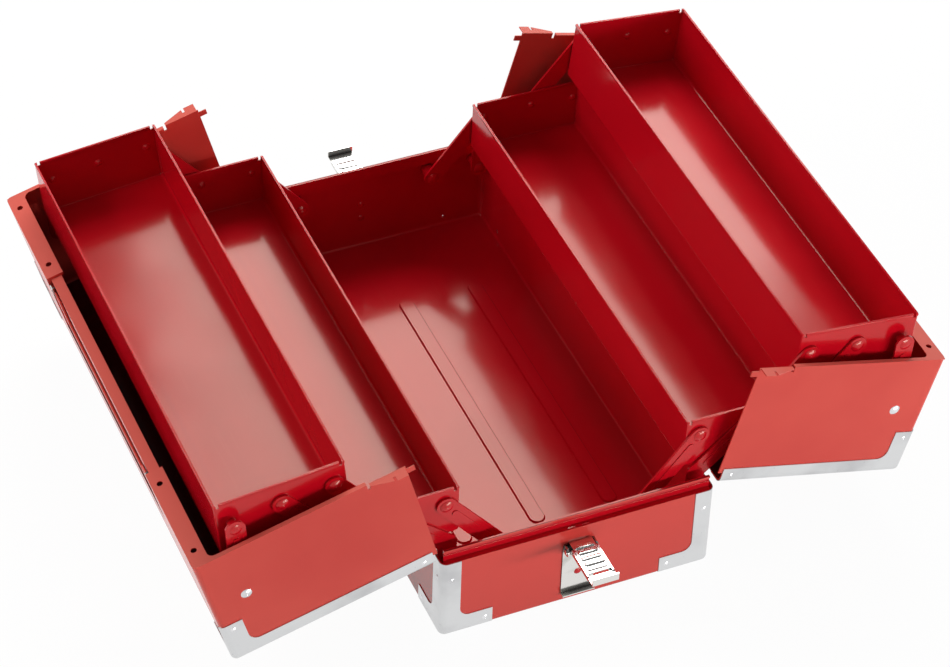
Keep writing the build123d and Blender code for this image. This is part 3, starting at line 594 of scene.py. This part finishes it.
@dataclass(frozen=True)
class Finishes:
    """Every finish on the box, each made once."""

    shell: bpy.types.Material = field(
        default_factory=lambda: Enamel(
            "shell_enamel",
            # The shell's paler, warmer red paints the white floor's reflection onto the lids' outer
            # panels.
            colour=(0.63, 0.056, 0.042),
            deep=(0.56, 0.034, 0.028),
            # Painted shade darkens the shell's low faces that look up, inside the open lids.
            shade_and_dull_below=0.105,
            # The shell's high faces that look up get the painted highlight.
            highlight_above=0.120,
        ).make()
    )
    well: bpy.types.Material = field(
        default_factory=lambda: Enamel(
            # The well's outer faces get the painted reflection of the white floor.
            "well_enamel", reflection_beyond=(0.1084, 0.2157), gloss=0.15, floor_scuffs=0.05
        ).make()
    )
    tray: bpy.types.Material = field(
        default_factory=lambda: Enamel("tray_enamel", gloss=0.15, floor_scuffs=0.04).make()
    )
    arm: bpy.types.Material = field(
        default_factory=lambda: Enamel("arm_enamel", gloss=0.26, coat=0.25).make()
    )
    handle: bpy.types.Material = field(
        default_factory=lambda: Enamel(
            "handle_enamel", colour=(0.63, 0.064, 0.046), deep=(0.57, 0.040, 0.032), gloss=0.28
        ).make()
    )
    trim: bpy.types.Material = field(
        default_factory=lambda: BrushedSteel("brushed_trim").make()
    )
    rivet: bpy.types.Material = field(
        default_factory=lambda: BrushedSteel(
            "turned_rivet", colour=(0.76, 0.76, 0.77), gloss=0.24, grain=(1.0, 1.0, 1.0)
        ).make()
    )
    plating: bpy.types.Material = field(default_factory=lambda: Plating("nickel_plating").make())


def dress(names: Iterable[str], finish: bpy.types.Material) -> None:
    """Puts a finish on CAD nodes.

    Args:
        names: The nodes' names.
        finish: The material for all of them.
    """
    for name in names:
        for material_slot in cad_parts[name].material_slots:
            material_slot.material = finish
        LOG.info("%s wears %s", name, finish.name)


# ---- forms ------------------------------------------------------------------------------------
def circle(radius: float, count: int = 20) -> list[Flat]:
    """A round outline about the origin, of so many points."""
    turns = (2 * math.pi * index / count for index in range(count))
    return [(radius * math.cos(turn), radius * math.sin(turn)) for turn in turns]


def soft_rectangle(width: float, height: float, radius: float, steps: int = 4) -> list[Flat]:
    """A rectangle with rounded corners about the origin.

    Args:
        width: Its first measure.
        height: Its second measure.
        radius: Of its corners.
        steps: Edges that round one corner.

    Returns:
        Its points in order.
    """
    points = []
    for quarter, (right, up) in enumerate(((1, 1), (-1, 1), (-1, -1), (1, -1))):
        for step in range(steps + 1):
            turn = math.pi / 2 * (quarter + step / steps)
            points.append(
                (
                    right * (width / 2 - radius) + radius * math.cos(turn),
                    up * (height / 2 - radius) + radius * math.sin(turn),
                )
            )
    return points


class Form:
    """A mesh in the making, built from swept outlines."""

    def __init__(self) -> None:
        """Starts empty."""
        self.mesh = bmesh.new()

    def ring(self, outline: Sequence[Flat], centre: Vector, across: Vector, up: Vector) -> Ring:
        """Lays an outline into the mesh.

        Args:
            outline: Its points.
            centre: Where its origin goes.
            across: Direction and scale of its first measure.
            up: Direction and scale of its second measure.

        Returns:
            The new vertices.
        """
        return [self.mesh.verts.new(centre + a * across + b * up) for a, b in outline]

    def loft(self, rings: Sequence[Ring]) -> None:
        """Skins rings of equal length and caps both ends.

        Args:
            rings: The rings in order.
        """
        self.mesh.faces.new(list(reversed(rings[0])))
        self.mesh.faces.new(rings[-1])
        for first, second in zip(rings, rings[1:]):
            count = len(first)
            for index in range(count):
                after = (index + 1) % count
                self.mesh.faces.new((first[index], first[after], second[after], second[index]))

    def bar(self, start: Point, stop: Point, up: Point, outline: Sequence[Flat]) -> None:
        """A straight bar with softened ends.

        Args:
            start: Centre of its first end.
            stop: Centre of its last end.
            up: Direction of the outline's second measure.
            outline: Its section.
        """
        first, last, rise = Vector(start), Vector(stop), Vector(up).normalized()
        run = (last - first).normalized()
        across = run.cross(rise)
        soft = BAR_SOFT_LENGTH * max(abs(a) for a, _ in outline)
        places = [(first + run * (soft * share), scale) for share, scale in BAR_STATIONS]
        places += [(last - run * (soft * share), scale) for share, scale in reversed(BAR_STATIONS)]
        self.loft([self.ring(outline, at, across * k, rise * k) for at, k in places])

    def dome(self, centre: Point, outward: Point, radius: float, height: float) -> None:
        """A low round dome.

        Args:
            centre: Middle of its foot.
            outward: The way it rises.
            radius: Of its foot.
            height: Of its top over its foot.
        """
        rise = Vector(outward).normalized()
        across = rise.orthogonal().normalized()
        other = rise.cross(across)
        outline = circle(radius)
        foot = Vector(centre)
        self.loft(
            [
                self.ring(outline, foot + rise * (height * lift), across * k, other * k)
                for k, lift in DOME_STATIONS
            ]
        )

    def finish(
        self, name: str, body: str, finish: bpy.types.Material, material_slot: Slot
    ) -> None:
        """Turns the mesh into a piece that rides on a body.

        Args:
            name: The piece's name.
            body: The CAD body that carries it.
            finish: Its material.
            material_slot: The record's slot that the finish belongs to; not used.
        """
        bmesh.ops.recalc_face_normals(self.mesh, faces=self.mesh.faces)
        data = bpy.data.meshes.new(name)
        self.mesh.to_mesh(data)
        self.mesh.free()
        data.shade_smooth()
        data.set_sharp_from_angle(angle=SHARP_ANGLE)
        data.materials.append(finish)
        piece = bpy.data.objects.new(name, data)
        bpy.context.scene.collection.objects.link(piece)
        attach(piece, body)
        LOG.info("piece %s rides on %s", name, body)


# ---- the box's sub-assemblies -----------------------------------------------------------------
@dataclass
class BasePan:
    """The pan with its side hinges, corner trims and the rolled lips of its end bands."""

    finishes: Finishes
    lip_reach: float = 0.1058
    lip_y: float = 0.21210
    lip_z: float = 0.08310
    lip_width: float = 0.00130
    lip_height: float = 0.00190
    lip_round: float = 0.0006
    leaf_face: float = 0.10940
    weld_z: float = 0.0672
    weld_pitch: float = 0.042
    weld_pairs: int = 4
    weld_radius: float = 0.0021
    weld_rise: float = 0.00022

    def dress_nodes(self) -> None:
        """Gives the CAD nodes of the base their finishes."""
        sides = [side.word for side in Side]
        dress(["base_shell"], self.finishes.well)
        dress((f"hinge_leaf_base_{side}" for side in sides), self.finishes.shell)
        dress(["base_pivot_studs"], self.finishes.arm)
        dress(["base_trim_rivets", "hinge_pins"], self.finishes.rivet)
        corners = (f"base_corner_trim_{end.word}_{side}" for end in End for side in sides)
        dress(corners, self.finishes.trim)

    def roll_lip(self, end: End) -> None:
        """Rolls the lip along the top of one end band.

        Args:
            end: The end that the band stands on.
        """
        lip = Form()
        y, z = end.value * self.lip_y, self.lip_z
        outline = soft_rectangle(self.lip_width, self.lip_height, self.lip_round)
        lip.bar((-self.lip_reach, y, z), (self.lip_reach, y, z), (0, 0, 1), outline)
        lip.finish(f"base_lip_{end.word}", "base", self.finishes.shell, Slot.ENAMEL)

    def weld_leaf(self, side: Side) -> None:
        """Marks the spot welds that hold one hinge leaf to the pan.

        Args:
            side: The side of the box.
        """
        marks = Form()
        for index in range(-self.weld_pairs, self.weld_pairs + 1):
            spot = (side.value * self.leaf_face, index * self.weld_pitch, self.weld_z)
            marks.dome(spot, (side.value, 0, 0), self.weld_radius, self.weld_rise)
        marks.finish(f"base_leaf_welds_{side.word}", "base", self.finishes.shell, Slot.ENAMEL)

    def build(self) -> None:
        """Dresses the base and adds its small pieces."""
        self.dress_nodes()
        for end in End:
            self.roll_lip(end)
        for side in Side:
            self.weld_leaf(side)


@dataclass
class Lid:
    """One half of the lid with its corner trims, rivets and hinge leaf."""

    finishes: Finishes
    side: Side

    def build(self) -> None:
        """Dresses the lid, its trims, its rivets and its hinge leaf."""
        side = self.side.word
        dress([f"lid_{side}", f"hinge_leaf_lid_{side}"], self.finishes.shell)
        dress((f"lid_corner_trim_{end.word}_{side}" for end in End), self.finishes.trim)
        dress([f"lid_rivets_{side}", f"lid_link_rivets_{side}"], self.finishes.rivet)


@dataclass
class Tray:
    """One tray with its rolled rim and its rivets. Its tilt in the open box is in degrees."""

    finishes: Finishes
    side: Side
    level: Level
    corner_x: float
    corner_z: float
    tilt: float
    width: float
    half_length: float = 0.2000
    hem_width: float = 0.0015
    hem_height: float = 0.0024
    proud: float = 0.00008
    rim_round: float = 0.00078
    notch: float = 0.0041

    def placed(self, across: float, y: float, rise: float) -> Point:
        """A point of the tray in the open box.

        Args:
            across: Distance from its inner edge.
            y: Place along the box.
            rise: Height from its rim.

        Returns:
            The point, on this tray's side.
        """
        turn = math.radians(self.tilt)
        x = self.corner_x + math.cos(turn) * across + math.sin(turn) * rise
        z = self.corner_z - math.sin(turn) * across + math.cos(turn) * rise
        return (self.side.value * x, y, z)

    def roll_rim(self) -> None:
        """Rolls the rim along the four walls."""
        rim = Form()
        turn = math.radians(self.tilt)
        up = (self.side.value * math.sin(turn), 0, math.cos(turn))
        outline = soft_rectangle(
            self.hem_width + 2 * self.proud, self.hem_height + 2 * self.proud, self.rim_round
        )
        rise, half = -self.hem_height / 2, self.half_length
        for across in (self.hem_width / 2, self.width - self.hem_width / 2):
            start, stop = self.placed(across, -half, rise), self.placed(across, half, rise)
            rim.bar(start, stop, up, outline)
        for end in End:
            y = end.value * (half - self.hem_width / 2)
            start = self.placed(self.notch, y, rise)
            stop = self.placed(self.width - self.notch, y, rise)
            rim.bar(start, stop, up, outline)
        level, side = self.level.value, self.side.word
        name, body = f"rim_{level}_{side}", f"{level}_tray_{side}"
        rim.finish(name, body, self.finishes.tray, Slot.ENAMEL)

    def build(self) -> None:
        """Dresses the tray and rolls its rim."""
        level, side = self.level.value, self.side.word
        dress([f"tray_{level}_{side}"], self.finishes.tray)
        dress([f"{level}_tray_rivets_{side}"], self.finishes.arm)
        self.roll_rim()


@dataclass
class Linkage:
    """The arms and links that carry the trays of one side."""

    finishes: Finishes
    side: Side
    kinds: tuple[str, ...] = ("short_arm_lower", "long_arm", "short_arm_upper", "lid_link")

    def build(self) -> None:
        """Dresses the arms and links."""
        names = (f"{kind}_{end.word}_{self.side.word}" for kind in self.kinds for end in End)
        dress(names, self.finishes.arm)


@dataclass
class Latch:
    """The draw latch of one end, with the rounded finger ribs of its raised lever."""

    finishes: Finishes
    end: End
    face_z: float = 0.0616
    rib_places: tuple[float, ...] = (0.2250, 0.2310, 0.2370, 0.2430)
    rib_half: float = 0.0076
    rib_width: float = 0.0050
    rib_depth: float = 0.0028

    def press_ribs(self) -> None:
        """Presses the finger ribs out of the lever's face."""
        ribs = Form()
        half, z = self.rib_half, self.face_z
        outline = [(self.rib_width / 2 * a, self.rib_depth / 2 * b) for a, b in circle(1.0)]
        for place in self.rib_places:
            y = self.end.value * place
            ribs.bar((-half, y, z), (half, y, z), (0, 0, 1), outline)
        name = f"lever_ribs_{self.end.word}"
        ribs.finish(name, f"lever_{self.end.word}", self.finishes.plating, Slot.CHROME)

    def build(self) -> None:
        """Dresses the latch and presses its ribs."""
        self.press_ribs()
        parts = ("latch_plate", "latch_lever", "latch_claw", "latch_claw_pin")
        dress((f"{part}_{self.end.word}" for part in parts), self.finishes.plating)


@dataclass
class LatchFasteners:
    """The rivets and the lever pins of both latches, which share their nodes."""

    finishes: Finishes

    def build(self) -> None:
        """Dresses the rivets and the pins."""
        dress(["latch_plate_rivets"], self.finishes.arm)
        dress(["latch_lever_pins"], self.finishes.plating)


@dataclass
class Handle:
    """The folding handle of one lid."""

    finishes: Finishes
    side: Side

    def build(self) -> None:
        """Dresses the handle and its clips."""
        side = self.side.word
        dress([f"handle_{side}"], self.finishes.handle)
        dress([f"handle_clips_{side}"], self.finishes.plating)


# ---- studio -----------------------------------------------------------------------------------
@dataclass(frozen=True)
class Softbox:
    """A rectangular lamp that faces a point."""

    name: str
    place: Point
    width: float
    height: float
    glow: float
    aim: Point = (0.0, 0.0, 0.12)

    def hang(self) -> None:
        """Adds the lamp to the scene."""
        data = bpy.data.lights.new(self.name, "AREA")
        data.shape, data.size, data.size_y = "RECTANGLE", self.width, self.height
        data.energy = self.glow * math.pi * self.width * self.height
        lamp = bpy.data.objects.new(self.name, data)
        lamp.location = self.place
        lamp.rotation_mode = "QUATERNION"
        toward = Vector(self.aim) - Vector(self.place)
        lamp.rotation_quaternion = toward.to_track_quat("-Z", "Y")
        lamp.visible_camera = False
        bpy.context.scene.collection.objects.link(lamp)


@dataclass
class Studio:
    """White floor, soft light and the photograph's camera."""

    ambient: float = 0.24
    horizon: Band = (0.22, 0.50)
    paper: Tint = (0.95, 0.95, 0.95)
    floor_half: float = 40.0
    floor_glow: float = 0.965
    sensor: float = 36.0
    lens: float = 133.0
    camera_place: Point = (-0.8216, -1.8269, 1.8826)
    azimuth: float = -24.44
    elevation: float = 41.95
    roll: float = 2.08
    lamps: tuple[Softbox, ...] = (
        Softbox("softbox_behind", (0.60, 1.38, 1.60), width=1.42, height=1.40, glow=6.4),
        Softbox("strip_front", (1.0, -1.9, 0.17), width=1.6, height=0.26, glow=19.5),
        Softbox("softbox_left", (-1.9, 0.1, 1.15), width=0.9, height=0.9, glow=7.0),
    )

    def seen(self, graph: Graph) -> Field:
        """Tells the rays that show the studio from those that only light the box.

        Args:
            graph: The graph that asks.

        Returns:
            1 for a ray from the camera, a mirror or clear glass, and 0 for any other.
        """
        camera = graph.node("ShaderNodeLightPath", output="Is Camera Ray")
        outputs = camera.socket.node.outputs
        glossy = Field(graph, outputs["Is Glossy Ray"])
        through = Field(graph, outputs["Is Transmission Ray"])
        direct = camera + glossy
        return direct.maths("ADD", direct, through, clamp=True)

    def light_world(self) -> None:
        """Fills the world with white up to a little over the horizon, and dims it above."""
        world = bpy.data.worlds.new("studio_world")
        bpy.context.scene.world = world
        graph = Graph(world)
        height = graph.axes(graph.node("ShaderNodeTexCoord", output="Generated"))[2]
        backdrop = self.seen(graph) * height.under(*self.horizon)
        strength = self.ambient + (1 - self.ambient) * backdrop
        inputs = {"Color": opaque(WHITE), "Strength": strength}
        graph.end(graph.node("ShaderNodeBackground", inputs=inputs), "ShaderNodeOutputWorld")

    def lay_floor(self) -> None:
        """Lays the white floor, which shows the shadow faintly."""
        sheet = bmesh.new()
        half = self.floor_half
        corners = ((-half, -half), (half, -half), (half, half), (-half, half))
        sheet.faces.new([sheet.verts.new((x, y, 0.0)) for x, y in corners])
        data = bpy.data.meshes.new("studio_floor")
        sheet.to_mesh(data)
        sheet.free()
        made = bpy.data.materials.new("studio_paper")
        graph = Graph(made)
        matt = graph.node("ShaderNodeBsdfDiffuse", inputs={"Color": opaque(self.paper)})
        glow = graph.node("ShaderNodeEmission", inputs={"Strength": 1.0})
        share = self.floor_glow * self.seen(graph)
        graph.end(graph.node("ShaderNodeMixShader", inputs={0: share, 1: matt, 2: glow}))
        data.materials.append(made)
        floor = bpy.data.objects.new("studio_floor", data)
        bpy.context.scene.collection.objects.link(floor)

    def set_camera(self) -> None:
        """Stands the camera where the photograph was taken from."""
        turn, rise, lean = map(math.radians, (self.azimuth, self.elevation, self.roll))
        back = Vector(
            (math.sin(turn) * math.cos(rise), -math.cos(turn) * math.cos(rise), math.sin(rise))
        )
        level = (-back).cross(Vector((0, 0, 1))).normalized()
        upright = level.cross(-back)
        right = math.cos(lean) * level + math.sin(lean) * upright
        up = math.cos(lean) * upright - math.sin(lean) * level
        data = bpy.data.cameras.new("photograph")
        data.sensor_width, data.lens = self.sensor, self.lens
        camera = bpy.data.objects.new("photograph", data)
        pose = Matrix((right, up, back)).transposed().to_4x4()
        pose.translation = Vector(self.camera_place)
        camera.matrix_world = pose
        bpy.context.scene.collection.objects.link(camera)
        bpy.context.scene.camera = camera

    def build(self) -> None:
        """Sets the camera, the floor, the world and the lamps."""
        self.set_camera()
        self.lay_floor()
        self.light_world()
        for lamp in self.lamps:
            lamp.hang()
        bpy.context.scene.view_settings.view_transform = "Standard"


def main() -> None:
    """Dresses the tool box and sets up its studio."""
    logging.basicConfig(level=logging.INFO, format="%(name)s: %(message)s")
    Studio().build()
    finishes = Finishes()
    assemblies = [BasePan(finishes)]
    for side in Side:
        assemblies += [
            Lid(finishes, side),
            Handle(finishes, side),
            Tray(
                finishes, side, Level.MID, corner_x=0.08996, corner_z=0.13257, tilt=0.93, width=0.0940
            ),
            Tray(
                finishes, side, Level.TOP, corner_x=0.17805, corner_z=0.18937, tilt=6.04, width=0.0976
            ),
            Linkage(finishes, side),
        ]
    assemblies += [Latch(finishes, end) for end in End]
    assemblies.append(LatchFasteners(finishes))
    for assembly in assemblies:
        assembly.build()


if __name__ == "__main__":
    main()
